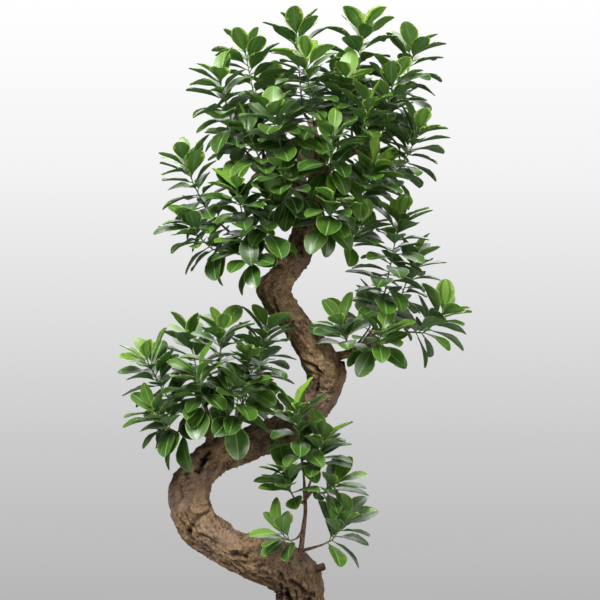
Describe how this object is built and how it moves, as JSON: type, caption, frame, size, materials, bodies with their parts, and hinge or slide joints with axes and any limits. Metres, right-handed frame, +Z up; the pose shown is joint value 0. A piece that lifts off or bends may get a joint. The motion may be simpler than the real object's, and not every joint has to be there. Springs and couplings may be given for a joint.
{
  "type": "potted ficus",
  "caption": "Indoor ficus with a thick bare S-shaped trunk and glossy leafy tufts, standing in soil in a plain round pot.",
  "frame": {"origin": "middle of the pot's flat base, on the floor", "axes": "+Z up along the pot's axis, +X to the plant's right as seen from its front, front facing -Y"},
  "size_m": [0.7918, 0.5839, 1.6792],
  "materials": {
    "pot_plastic": "matte",
    "soil": "rough",
    "bark": "rough",
    "leaf": "glossy"
  },
  "bodies": {
    "root": {"pot": "pot_plastic", "soil": "soil", "trunk": "bark", "shoot_crown_01": "leaf", "shoot_crown_02": "leaf", "shoot_crown_03": "leaf", "shoot_crown_04": "leaf", "shoot_crown_05": "leaf", "shoot_crown_06": "leaf", "shoot_crown_07": "leaf", "shoot_crown_08": "leaf", "shoot_crown_09": "leaf", "shoot_crown_10": "leaf", "shoot_crown_11": "leaf", "shoot_crown_12": "leaf", "shoot_crown_13": "leaf", "shoot_crown_14": "leaf", "shoot_crown_15": "leaf", "shoot_crown_16": "leaf", "shoot_crown_17": "leaf", "shoot_crown_18": "leaf", "shoot_crown_19": "leaf", "shoot_crown_20": "leaf", "shoot_crown_21": "leaf", "shoot_crown_22": "leaf", "shoot_crown_23": "leaf", "shoot_crown_24": "leaf", "shoot_crown_25": "leaf", "shoot_crown_26": "leaf", "shoot_crown_27": "leaf", "shoot_right_1": "leaf", "shoot_right_2": "leaf", "shoot_right_3": "leaf", "shoot_right_4": "leaf", "shoot_right_5": "leaf", "shoot_right_6": "leaf", "shoot_right_7": "leaf", "shoot_left_1": "leaf", "shoot_left_2": "leaf", "shoot_left_3": "leaf", "shoot_left_4": "leaf", "shoot_left_5": "leaf", "shoot_left_6": "leaf", "shoot_left_7": "leaf", "shoot_left_8": "leaf", "shoot_left_9": "leaf", "shoot_low_1": "leaf", "shoot_low_2": "leaf", "shoot_low_3": "leaf", "shoot_low_4": "leaf", "shoot_low_5": "leaf", "shoot_low_6": "leaf"}
  },
  "joints": []
}
